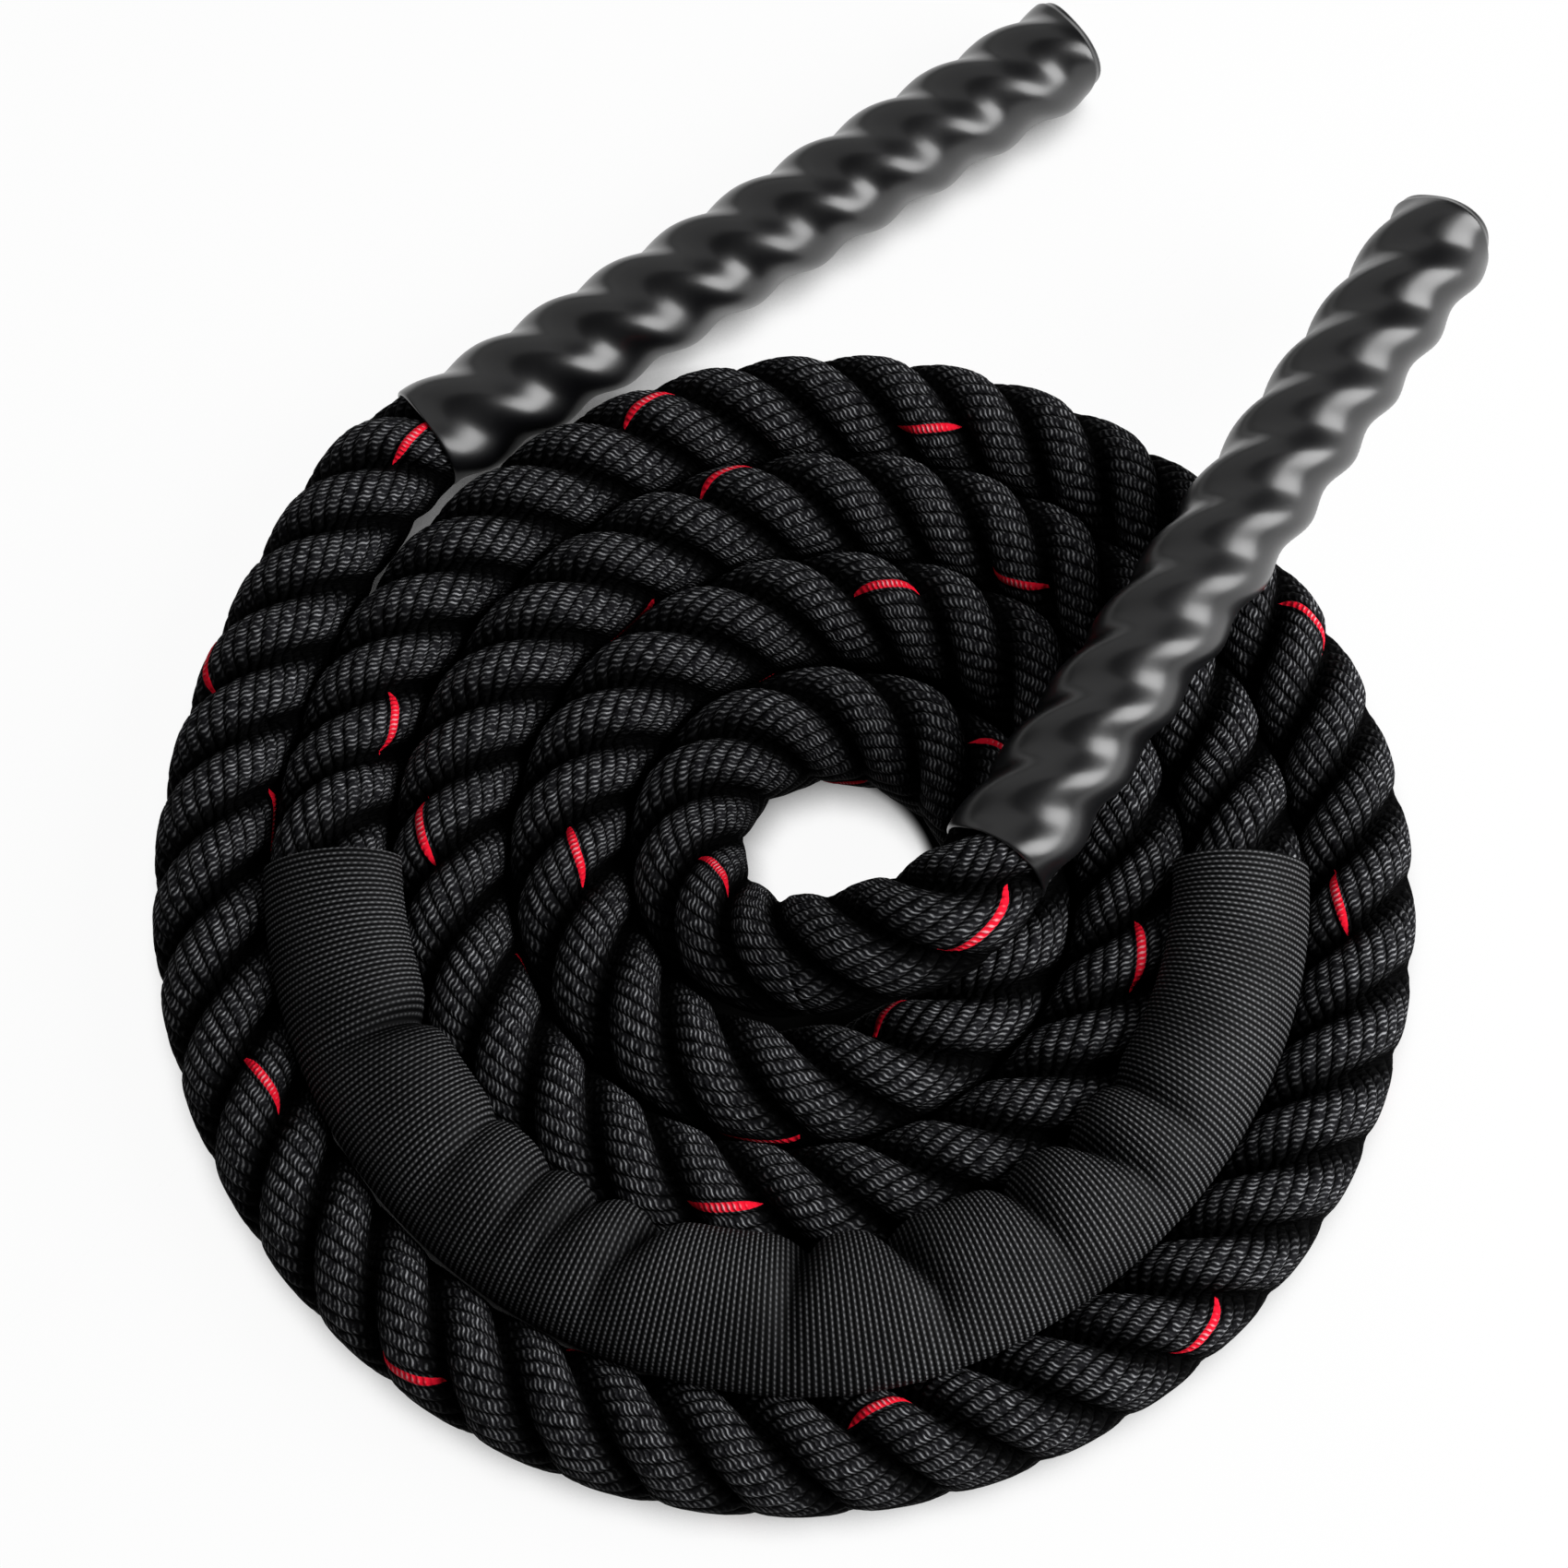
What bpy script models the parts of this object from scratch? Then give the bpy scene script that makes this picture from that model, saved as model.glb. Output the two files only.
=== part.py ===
"""Weighted jump rope, laid down as one flat coil.

A thick three-strand rope is wound in a little over four turns.  Its outer end leaves the coil sideways and its
inner end climbs over the turns, and each end goes into a grip of shrunk plastic tube that shows the strands.  A
woven sleeve covers the rope's middle, half a turn of it.  Units are metres, +Z is up and the rope lies on z = 0.
"""
import math

import bmesh
import bpy
from mathutils import Matrix, Vector
from mathutils.bvhtree import BVHTree
from mathutils.geometry import interpolate_bezier

MM = 0.001
FIT_GAP = 0.3 * MM               # between solids that touch on the real rope

# The rope
ROPE_RADIUS = 15.0 * MM          # over the crests of the strands
LAY_LENGTH = 64.0 * MM           # one full twist of the three strands
STRANDS = 3
COIL_SIDES = 6                   # the tube's section: a point down, its flats to the neighbouring turns
FLOOR_CUT_SHARE = 0.1            # how much of its diameter the coil loses where it lies flat

# The woven sleeve
SLEEVE_CLEARANCE = 0.5 * MM      # between the rope's crests and the cloth
SLEEVE_WALL = 0.7 * MM
SLEEVE_END_INSET = 2.0 * MM      # the cloth ends this far inside the raised stretch
SLEEVE_RADIUS = ROPE_RADIUS + SLEEVE_CLEARANCE + SLEEVE_WALL

# The coil, whose points are counted from its outer end
TURN_POINT_COUNT = 24
FIRST_ANGLE = math.radians(135.0)
FIRST_POINT = 2
SLEEVE_POINTS = (27, 39)
SLEEVE_RISE_POINTS = 1           # the rope rises into the sleeve over this many points
LAST_POINT = 105
COIL_INNER_RADIUS = 26.8 * MM    # at the last point
TURN_GAP = 1.45 * MM             # between the flats of the sleeve and of the turns beside it
FLAT_SHARE = math.cos(math.pi / COIL_SIDES)
TURN_PITCH = (ROPE_RADIUS + SLEEVE_RADIUS) * FLAT_SHARE + TURN_GAP
OVAL = 1.25 * MM                 # the outer turn is a little longer than round, along this angle
OVAL_ANGLE = math.radians(48.0)
INNER_SHIFT = 4.0 * MM           # the innermost turn lies this far off the coil's centre, along this angle
INNER_SHIFT_ANGLE = math.radians(15.0)
END_DRAW_IN = 4.0 * MM           # the outer end is drawn in against the second turn
END_FADE_SHARE = 0.1             # of a turn
DRAW_IN = 4.0 * MM               # the innermost loop is flattened at its far side
DRAW_TURN = 3.8
DRAW_WIDTH_SHARE = 0.18          # of a turn

# Heights of the rope's centreline
END_LIFT_POINTS = 3              # the outer end is lifted clear of the floor, and settles over these points
END_LIFT_FADE = 2
LYING_HEIGHT = ROPE_RADIUS * (1.0 - 2.0 * FLOOR_CUT_SHARE)
ROPE_TOP = LYING_HEIGHT + ROPE_RADIUS
CLIMB_POINT = 96                 # the innermost loop starts to climb here
CLIMB_HEIGHT = 15.0 * MM         # and has climbed this far at the coil's last point

# The grips: a thin tube shrunk onto the strands
GRIP_LENGTH = 209.0 * MM
GRIP_CREST_RADIUS = 14.8 * MM
GRIP_GROOVE_DEPTH = 2.4 * MM     # from a strand's crest down to the groove beside it
GRIP_WALL = 1.0 * MM
OUTLINE_POINTS = 12              # round a lobed section
LAY_RINGS = 20                   # rings in one lay length
GRIP_LIP_LENGTH = 2.5 * MM       # the tube shrinks in past the rope's end
GRIP_LIP_SHARE = 0.92
TAPE_LENGTH = 18.0 * MM
TAPE_THICKNESS = 0.6 * MM
TAPED_CORE_SHARE = 0.92          # the rope's end, squeezed by its tape
SHOULDER_LENGTH = 1.0 * MM

# Where the grips lie, seen from above
GRIP_A_HEADING = math.radians(35.0)
GRIP_A_SETBACK = 13.7 * MM       # its mouth lies before the point nearest the coil's centre
GRIP_B_HEADING = math.radians(55.0)
GRIP_B_MOUTH_ANGLE = math.radians(-8.9)
GRIP_B_MOUTH_REACH = 17.8 * MM   # further from the centre than the coil's last point

# The free stretches between the coil and the grips
STRETCH_RUN = 5.0 * MM           # straight where it meets the coil and the grip
STRETCH_POINTS = 9
STRETCH_SIDES = 8
STRETCH_HANDLE_SHARES = {"a": 0.22, "b": 0.36}

# The cutter below the floor
CUTTER_OVERRUN = 20.0 * MM

COLLECTION = "weighted_jump_rope"


def clear_scene():
    for item in list(bpy.data.objects):
        bpy.data.objects.remove(item, do_unlink=True)
    for name in (COLLECTION, "cutters"):
        bpy.context.scene.collection.children.link(bpy.data.collections.new(name))


def material(name, colour, roughness):
    surface = bpy.data.materials.new(name)
    surface.use_nodes = True
    shader = surface.node_tree.nodes["Principled BSDF"]
    shader.inputs["Base Color"].default_value = (*colour, 1.0)
    shader.inputs["Roughness"].default_value = roughness
    shader.inputs["Metallic"].default_value = 0.0
    return surface


def attach(item, parent, matrix, collection=COLLECTION):
    """Links an object, and places it under its parent by where it stands in the coil's frame."""
    if item.name not in bpy.data.collections[collection].objects:
        bpy.data.collections[collection].objects.link(item)
    item.parent = parent
    item.matrix_basis = stance(parent).inverted() @ matrix
    return item


def stance(item):
    """An object's matrix in the coil's frame, which the top empty stands for."""
    if item is None or item.parent is None:
        return Matrix.Identity(4)
    return stance(item.parent) @ item.matrix_basis


def empty(name, parent, place):
    return attach(bpy.data.objects.new(name, None), parent, Matrix.Translation(place))


def smooth(share):
    """Eases from 0 to 1 with level ends."""
    share = min(max(share, 0.0), 1.0)
    return share * share * (3.0 - 2.0 * share)


def coil_radius(turn):
    """The spiral's radius: an even pitch, the outer oval, the inner turns' shift and the two draw-ins."""
    turns_left = LAST_POINT / TURN_POINT_COUNT - turn
    outer_share = turns_left * TURN_POINT_COUNT / LAST_POINT
    angle = FIRST_ANGLE + turn * 2.0 * math.pi
    radius = COIL_INNER_RADIUS + TURN_PITCH * turns_left
    radius += OVAL * outer_share * math.cos(2.0 * (angle - OVAL_ANGLE))
    radius += INNER_SHIFT * (1.0 - outer_share) * math.cos(angle - INNER_SHIFT_ANGLE)
    radius -= END_DRAW_IN * math.exp(-turn / END_FADE_SHARE)
    return radius - DRAW_IN * math.exp(-((turn - DRAW_TURN) / DRAW_WIDTH_SHARE) ** 2)


def coil_height(point):
    """The centreline's height: lifted at its outer end, in the sleeve and where it climbs."""
    height = LYING_HEIGHT
    height += (ROPE_RADIUS - LYING_HEIGHT) * smooth((FIRST_POINT + END_LIFT_POINTS - point) / END_LIFT_FADE)
    inside = min(point - SLEEVE_POINTS[0], SLEEVE_POINTS[1] - point)
    height += (SLEEVE_RADIUS - LYING_HEIGHT) * smooth((inside + SLEEVE_RISE_POINTS) / SLEEVE_RISE_POINTS)
    climbed = max(point - CLIMB_POINT, 0) / (LAST_POINT - CLIMB_POINT)
    return height + CLIMB_HEIGHT * climbed ** 2


def coil_point(point):
    turn = point / TURN_POINT_COUNT
    angle = FIRST_ANGLE + turn * 2.0 * math.pi
    radius = coil_radius(turn)
    return Vector((radius * math.cos(angle), radius * math.sin(angle), coil_height(point)))


def heading_vector(heading):
    return Vector((math.cos(heading), math.sin(heading), 0.0))


def grip_a_mouth():
    """The first grip lies on the floor beside the second turn, which sets how far out it is."""
    direction = heading_vector(GRIP_A_HEADING)
    outward = Vector((-direction.y, direction.x, 0.0))
    nearest_turn = (GRIP_A_HEADING + math.pi / 2.0 - FIRST_ANGLE) / (2.0 * math.pi) + 1.0
    distance = coil_radius(nearest_turn) + ROPE_RADIUS + GRIP_CREST_RADIUS + FIT_GAP
    return outward * distance - direction * GRIP_A_SETBACK + Vector((0.0, 0.0, GRIP_CREST_RADIUS))


def grip_b_mouth():
    """The second grip lies across the turns, on their crests."""
    reach = COIL_INNER_RADIUS + GRIP_B_MOUTH_REACH
    height = ROPE_TOP + FIT_GAP + GRIP_CREST_RADIUS
    return heading_vector(GRIP_B_MOUTH_ANGLE) * reach + Vector((0.0, 0.0, height))


def poly_curve(name, points, radius, sides, surface, capped=True, radii=None):
    """A tube along straight stretches between points, kept upright with flats at its two sides."""
    curve = bpy.data.curves.new(name, "CURVE")
    curve.dimensions = "3D"
    curve.twist_mode = "Z_UP"
    curve.bevel_depth = radius
    curve.bevel_resolution = sides // 2 - 2
    curve.use_fill_caps = capped
    spline = curve.splines.new("POLY")
    spline.points.add(len(points) - 1)
    for index, place in enumerate(points):
        spline.points[index].co = (*place, 1.0)
        spline.points[index].radius = radii[index] if radii else 1.0
        spline.points[index].tilt = math.pi / sides
    curve.materials.append(surface)
    return bpy.data.objects.new(name, curve)


def as_mesh(item, collection=COLLECTION):
    """Turns a curve object into a mesh object of the same name and place, with its caps welded on."""
    name, matrix, parent = item.name, item.matrix_basis.copy(), item.parent
    bpy.context.view_layer.update()
    graph = bpy.context.evaluated_depsgraph_get()
    mesh = bpy.data.meshes.new_from_object(item.evaluated_get(graph))
    bpy.data.objects.remove(item, do_unlink=True)
    shape = bmesh.new()
    shape.from_mesh(mesh)
    bmesh.ops.remove_doubles(shape, verts=shape.verts, dist=FIT_GAP / 10.0)
    bmesh.ops.recalc_face_normals(shape, faces=shape.faces)
    shape.to_mesh(mesh)
    shape.free()
    mesh.name = name
    solid = bpy.data.objects.new(name, mesh)
    bpy.data.collections[collection].objects.link(solid)
    solid.parent = parent
    solid.matrix_basis = matrix
    return solid


def floor_cutter(frame):
    """A slab under the floor, wider than the coil."""
    reach = coil_radius(0.0) + CUTTER_OVERRUN
    bpy.ops.mesh.primitive_cube_add(size=1.0)
    cutter = bpy.context.active_object
    cutter.name = "floor_cutter"
    for owner in list(cutter.users_collection):
        owner.objects.unlink(cutter)
    size = Matrix.Diagonal((2.0 * reach, 2.0 * reach, CUTTER_OVERRUN, 1.0))
    cutter.data.transform(Matrix.Translation((0.0, 0.0, -CUTTER_OVERRUN / 2.0)) @ size)
    cutter.hide_render = True
    cutter.display_type = "WIRE"
    return attach(cutter, frame, Matrix.Identity(4), "cutters")


def rope_coil(frame, surface):
    """The wound rope: one unbroken tube, cut flat where it lies on the floor."""
    points = [coil_point(index) for index in range(FIRST_POINT, LAST_POINT + 1)]
    tube = poly_curve("rope_coil", points, ROPE_RADIUS, COIL_SIDES, surface)
    solid = as_mesh(attach(tube, frame, Matrix.Identity(4)))
    print("least gap between the coil's turns: %.2f mm" % (least_gap(solid.data, len(points)) / MM))
    cut = solid.modifiers.new("flat underside", "BOOLEAN")
    cut.operation = "DIFFERENCE"
    cut.solver = "EXACT"
    cut.object = floor_cutter(frame)
    return solid


def least_gap(mesh, rings):
    """The least distance from the tube's points to the surface of the turns further in."""
    half_turn = TURN_POINT_COUNT // 2
    places = [vertex.co for vertex in mesh.vertices]
    faces = [tuple(face.vertices) for face in mesh.polygons]
    gaps = []
    for ring in range(rings - half_turn - 1):
        beyond = (ring + half_turn) * COIL_SIDES
        tree = BVHTree.FromPolygons(places, [face for face in faces if min(face) >= beyond])
        for place in places[ring * COIL_SIDES:(ring + 1) * COIL_SIDES]:
            gaps.append(tree.find_nearest(place)[3])
    return min(gaps)


def wear_sleeve(frame, surface):
    """A cloth tube round half a turn of the rope, open at both ends."""
    points = [coil_point(index) for index in range(SLEEVE_POINTS[0], SLEEVE_POINTS[1] + 1)]
    for end, neighbour in ((0, 1), (-1, -2)):
        points[end] = points[end] + (points[neighbour] - points[end]).normalized() * SLEEVE_END_INSET
    tube = poly_curve("wear_sleeve", points, SLEEVE_RADIUS, COIL_SIDES, surface, capped=False)
    wall = tube.modifiers.new("cloth", "SOLIDIFY")
    wall.thickness = SLEEVE_WALL
    wall.offset = -1.0
    return attach(tube, frame, Matrix.Identity(4))


def free_stretch(letter, frame, surface, coil_end, beside_end, mouth, mouth_way):
    """A short tube from the coil's end into a grip, straight at both ends and narrowing into the grip.

    It meets the coil square to the coil's last straight run, and then bends on along the spiral's own line.
    """
    start = coil_point(coil_end)
    face_way = (start - coil_point(beside_end)).normalized()
    start_way = (coil_point(2 * coil_end - beside_end) - coil_point(beside_end)).normalized()
    first = start + face_way * FIT_GAP
    last = mouth - mouth_way * FIT_GAP
    bend_from = first + face_way * STRETCH_RUN
    bend_to = last - mouth_way * STRETCH_RUN
    handle = (bend_to - bend_from).length * STRETCH_HANDLE_SHARES[letter]
    bend = interpolate_bezier(bend_from, bend_from + start_way * handle,
                              bend_to - mouth_way * handle, bend_to, STRETCH_POINTS)
    points = [first, *bend, last]
    narrowing = 1.0 - (GRIP_CREST_RADIUS - FIT_GAP) / ROPE_RADIUS
    radii = [1.0 - narrowing * index / (len(points) - 1) for index in range(len(points))]
    tube = poly_curve("free_stretch_" + letter, points, ROPE_RADIUS, STRETCH_SIDES, surface, radii=radii)
    print("%s: %.1f mm long" % (tube.name, sum((b - a).length for a, b in zip(points, points[1:])) / MM))
    return attach(tube, frame, Matrix.Identity(4))


def lobed_outline(name, inset, frame):
    """The three-lobed section of the strands under the shrunk tube, as a guide curve."""
    curve = bpy.data.curves.new(name, "CURVE")
    curve.dimensions = "2D"
    spline = curve.splines.new("POLY")
    spline.points.add(OUTLINE_POINTS - 1)
    spline.use_cyclic_u = True
    middle = GRIP_CREST_RADIUS - GRIP_GROOVE_DEPTH / 2.0 - inset
    for index in range(OUTLINE_POINTS):
        angle = -2.0 * math.pi * index / OUTLINE_POINTS
        radius = middle + GRIP_GROOVE_DEPTH / 2.0 * math.cos(STRANDS * angle)
        spline.points[index].co = (radius * math.cos(angle), radius * math.sin(angle), 0.0, 1.0)
    guide = bpy.data.objects.new(name, curve)
    guide.hide_render = True
    guide.display_type = "WIRE"
    return attach(guide, frame, Matrix.Identity(4), "cutters")


def twisted_rod(name, stations, outline, surface, capped):
    """A lobed rod along +X that turns with the lay; a station is a distance and a share of the section."""
    curve = bpy.data.curves.new(name, "CURVE")
    curve.dimensions = "3D"
    curve.twist_mode = "Z_UP"
    curve.bevel_mode = "OBJECT"
    curve.bevel_object = outline
    curve.use_fill_caps = capped
    spline = curve.splines.new("POLY")
    spline.points.add(len(stations) - 1)
    for index, (distance, share) in enumerate(stations):
        spline.points[index].co = (distance, 0.0, 0.0, 1.0)
        spline.points[index].radius = share
        spline.points[index].tilt = 2.0 * math.pi * distance / LAY_LENGTH
    curve.materials.append(surface)
    return bpy.data.objects.new(name, curve)


def lay_stations(start, end):
    """Stations from start to end, on a grid that repeats with the lay."""
    step = LAY_LENGTH / LAY_RINGS
    first = math.floor(start / step) + 1
    last = math.ceil(end / step)
    inner = [index * step for index in range(first, last)]
    margin = step / 4.0
    inner = [distance for distance in inner if start + margin < distance < end - margin]
    return [(distance, 1.0) for distance in (start, *inner, end)]


def grip(letter, pivot, frame, mouth, heading, surfaces):
    """One end of the rope: the shrunk tube, the rope inside it and the tape that binds the strands' ends."""
    place = Matrix.Translation(mouth) @ Matrix.Rotation(heading, 4, "Z")
    inset = GRIP_WALL + FIT_GAP
    tube_outline = lobed_outline("grip_outline_" + letter, 0.0, frame)
    tape_outline = lobed_outline("tape_outline_" + letter, inset, frame)

    body_end = GRIP_LENGTH - GRIP_LIP_LENGTH
    tube = twisted_rod("grip_" + letter, lay_stations(0.0, body_end) + [(GRIP_LENGTH, GRIP_LIP_SHARE)],
                       tube_outline, surfaces["grip"], capped=False)
    wall = tube.modifiers.new("wall", "SOLIDIFY")
    wall.thickness = GRIP_WALL
    wall.offset = -1.0
    attach(tube, pivot, place)

    core_end = body_end - FIT_GAP
    tape_start = core_end - TAPE_LENGTH
    shoulder = tape_start - SHOULDER_LENGTH
    taped = [(distance, TAPED_CORE_SHARE) for distance, _ in lay_stations(tape_start - FIT_GAP, core_end)]
    core = twisted_rod("rope_end_" + letter, lay_stations(0.0, shoulder) + taped, tape_outline,
                       surfaces["rope"], capped=True)
    attach(core, pivot, place)

    tape = twisted_rod("end_tape_" + letter, lay_stations(tape_start, core_end), tape_outline,
                       surfaces["tape"], capped=False)
    band = tape.modifiers.new("tape", "SOLIDIFY")
    band.thickness = TAPE_THICKNESS
    band.offset = -1.0
    attach(tape, pivot, place)
    return tube


def bounds(items):
    """The lowest and highest values along each axis of some objects' evaluated meshes, in world space."""
    bpy.context.view_layer.update()
    graph = bpy.context.evaluated_depsgraph_get()
    places = []
    for item in items:
        seen = item.evaluated_get(graph)
        mesh = seen.to_mesh()
        places += [item.matrix_world @ vertex.co for vertex in mesh.vertices]
        seen.to_mesh_clear()
    values = [[place[axis] for place in places] for axis in range(3)]
    return [(min(along), max(along)) for along in values]


def main():
    clear_scene()
    surfaces = {
        "rope": material("laid_rope", (0.022, 0.023, 0.026), 0.72),
        "sleeve": material("woven_sleeve", (0.045, 0.046, 0.05), 0.8),
        "grip": material("shrunk_tube", (0.02, 0.02, 0.024), 0.28),
        "tape": material("binding_tape", (0.015, 0.015, 0.015), 0.5),
    }
    frame = empty("rope_frame", None, Vector())

    rope_coil(frame, surfaces["rope"])
    wear_sleeve(frame, surfaces["sleeve"])

    grips = []
    for letter, coil_end, beside_end, mouth, heading in (
            ("a", FIRST_POINT, FIRST_POINT + 1, grip_a_mouth(), GRIP_A_HEADING),
            ("b", LAST_POINT, LAST_POINT - 1, grip_b_mouth(), GRIP_B_HEADING)):
        free_stretch(letter, frame, surfaces["rope"], coil_end, beside_end, mouth, heading_vector(heading))
        pivot = empty("grip_pivot_" + letter, frame, coil_point(coil_end))
        grips.append(grip(letter, pivot, frame, mouth, heading, surfaces))

    # The origin stands under the middle of the two grips, on the floor
    (left, right), (front, back), _ = bounds(grips)
    frame.location = (-(left + right) / 2.0, -(front + back) / 2.0, 0.0)
    bpy.context.view_layer.update()
    for item in bpy.data.objects:
        if item.type == "EMPTY":
            print(item.name, tuple(round(value / MM, 3) for value in item.matrix_world.translation))


main()
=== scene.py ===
"""The looks of the weighted jump rope: laid yarn, a ribbed sleeve and glossy grips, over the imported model."""
import bisect
import math

import bmesh
import bpy
from mathutils import Matrix, Vector
from mathutils.geometry import interpolate_bezier
from mathutils.kdtree import KDTree


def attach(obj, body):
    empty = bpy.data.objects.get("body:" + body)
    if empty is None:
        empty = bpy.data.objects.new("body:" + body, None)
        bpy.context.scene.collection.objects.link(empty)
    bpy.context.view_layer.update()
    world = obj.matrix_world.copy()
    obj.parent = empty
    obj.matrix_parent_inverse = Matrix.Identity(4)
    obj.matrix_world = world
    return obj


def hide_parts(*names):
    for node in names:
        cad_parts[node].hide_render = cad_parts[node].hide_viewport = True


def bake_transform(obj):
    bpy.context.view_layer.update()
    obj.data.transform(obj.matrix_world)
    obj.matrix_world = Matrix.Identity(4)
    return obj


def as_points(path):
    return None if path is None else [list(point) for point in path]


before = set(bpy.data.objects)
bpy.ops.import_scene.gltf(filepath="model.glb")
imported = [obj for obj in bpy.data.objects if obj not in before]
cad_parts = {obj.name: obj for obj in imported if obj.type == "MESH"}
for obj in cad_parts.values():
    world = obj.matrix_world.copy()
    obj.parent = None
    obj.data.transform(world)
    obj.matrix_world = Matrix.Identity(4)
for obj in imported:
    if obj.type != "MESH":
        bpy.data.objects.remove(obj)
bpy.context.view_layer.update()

bl_info = {
    "name": "Weighted Jump Rope",
    "version": (1, 0, 0),
    "blender": (4, 5, 0),
    "location": "3D Viewport > Sidebar > Jump Rope",
    "description": "Builds a coiled three-strand jump rope with shrunk-tube grips and a woven sleeve",
    "category": "Add Mesh",
}

MM = 0.001
FULL_TURN = 2.0 * math.pi

# The rope's route, as the construction has it. The coil's points are counted from its outer end
COIL_CENTRE = Vector((-34.139 * MM, -115.916 * MM, 0.0))
FIT_GAP = 0.3 * MM
ROPE_RADIUS = 15.0 * MM
LAY_LENGTH = 62.02 * MM          # fitted to the red dashes, as is the next
FIRST_STRAND_ANGLE = math.radians(-42.0)
STRANDS = 3
STRAND_TURN = FULL_TURN / STRANDS
COIL_SIDES = 6
TURN_POINT_COUNT = 24
FIRST_ANGLE = math.radians(135.0)
FIRST_POINT = 2
LAST_POINT = 105
SLEEVE_POINTS = (27, 39)
SLEEVE_RISE_POINTS = 1.0         # over which the rope rises into the sleeve
SLEEVE_END_INSET = 2.0 * MM
SLEEVE_RADIUS = 16.2 * MM
COIL_INNER_RADIUS = 26.8 * MM
TURN_GAP = 1.45 * MM
TURN_PITCH = (ROPE_RADIUS + SLEEVE_RADIUS) * math.cos(math.pi / COIL_SIDES) + TURN_GAP
OVAL = 1.25 * MM
OVAL_ANGLE = math.radians(48.0)
INNER_SHIFT = 4.0 * MM
INNER_SHIFT_ANGLE = math.radians(15.0)
END_DRAW_IN = 4.0 * MM
END_FADE_SHARE = 0.1
DRAW_IN = 4.0 * MM
DRAW_TURN = 3.8
DRAW_WIDTH_SHARE = 0.18
LYING_HEIGHT = 12.0 * MM
SETTLED_POINT = 5                # where the rope lies on the floor, after sinking over the points before
SINKING_POINTS = 2
CLIMB_POINT = 96
CLIMB_HEIGHT = 15.0 * MM
GRIP_LENGTH = 209.0 * MM
GRIP_CREST_RADIUS = 14.8 * MM
GRIP_GROOVE_DEPTH = 2.0 * MM
GRIP_WALL = 1.0 * MM
GRIP_LIP_LENGTH = 2.5 * MM
GRIP_LIP_SHARE = 0.92
TAPE_LENGTH = 18.0 * MM
TAPE_THICKNESS = 0.6 * MM
GRIP_A_MOUTH = Vector((-132.89 * MM, 1.23 * MM, 14.8 * MM))
GRIP_A_HEADING = math.radians(35.0)
GRIP_B_MOUTH = Vector((9.92 * MM, -122.82 * MM, 42.1 * MM))
GRIP_B_HEADING = math.radians(55.0)
STRETCH_RUN = 5.0 * MM
STRETCH_HANDLE_SHARES = {"a": 0.22, "b": 0.36}

# How the route is followed, and how the rope gives way beside it
ROUTE_STEPS = 26                 # between two of the coil's points
STRETCH_STEPS = 120
YARN_COLUMNS = 3                 # columns of points for each yarn
SAME_PLACE = 0.001 * MM          # nearer corners become one
GROOVE_POWER = 3.0               # how full a strand is between its crest and its groove
SQUASH_HARDNESS = 16             # how sharply a rope gives way where it is pressed
ROOM_STEP = 3.0 * MM             # between the places where the room beside the rope is measured
ROOM_REACH = 2.2 * ROPE_RADIUS   # how far away a neighbour is looked for
STANCE_REACH = 2.0 * MM          # how far before and behind a place its direction is read
SHOULDER_ANGLE = math.radians(52.0)  # from up, where a turn's flank begins
# Another turn lies close with less room than the first, and none with more than the second
NEAR_ROOM = (1.1 * ROPE_RADIUS, 1.35 * ROPE_RADIUS)

# Camera, fitted to the photograph
PHOTO_WIDTH = 1700
PHOTO_FOCUS_PIXELS = 3200
PHOTO_ROPE_PIXELS = 128.0        # how thick the rope is at the target
PHOTO_SCALE = 2.0 * ROPE_RADIUS / PHOTO_ROPE_PIXELS
CAMERA_ELEVATION = math.radians(70.0)
CAMERA_TARGET = COIL_CENTRE + Vector((-6.4 * MM, 27.7 * MM, 0.0))
SENSOR_WIDTH = 36.0              # in millimetres, as Blender has it

# Where the turns cover the floor, which is painted dark there as shade, from the coil's centre: from inside
# the innermost turn to under the outermost, whose distance shrinks by a pitch on its way round
COVERED_FROM = (29.0 * MM, 33.0 * MM)
COVERED_INSET = 13.5 * MM        # from the outermost turn's middle
COVERED_EDGE = COIL_INNER_RADIUS + TURN_PITCH * LAST_POINT / TURN_POINT_COUNT - COVERED_INSET
COVERED_FADE = 2.0 * MM

# Lamps, seen from the camera's target
KEY_PLACE = Vector((0.95, -0.14, 0.6))
FILL_PLACE = Vector((-0.3, 0.75, 0.85))

WHITE = (1.0, 1.0, 1.0)


# The route

def smooth(share):
    """Eases from 0 to 1 with level ends."""
    share = min(max(share, 0.0), 1.0)
    return share * share * (3.0 - 2.0 * share)


def coil_radius(turn):
    turns_left = LAST_POINT / TURN_POINT_COUNT - turn
    outer_share = turns_left * TURN_POINT_COUNT / LAST_POINT
    angle = FIRST_ANGLE + turn * FULL_TURN
    radius = COIL_INNER_RADIUS + TURN_PITCH * turns_left
    radius += OVAL * outer_share * math.cos(2.0 * (angle - OVAL_ANGLE))
    radius += INNER_SHIFT * (1.0 - outer_share) * math.cos(angle - INNER_SHIFT_ANGLE)
    radius -= END_DRAW_IN * math.exp(-turn / END_FADE_SHARE)
    return radius - DRAW_IN * math.exp(-((turn - DRAW_TURN) / DRAW_WIDTH_SHARE) ** 2)


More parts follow.
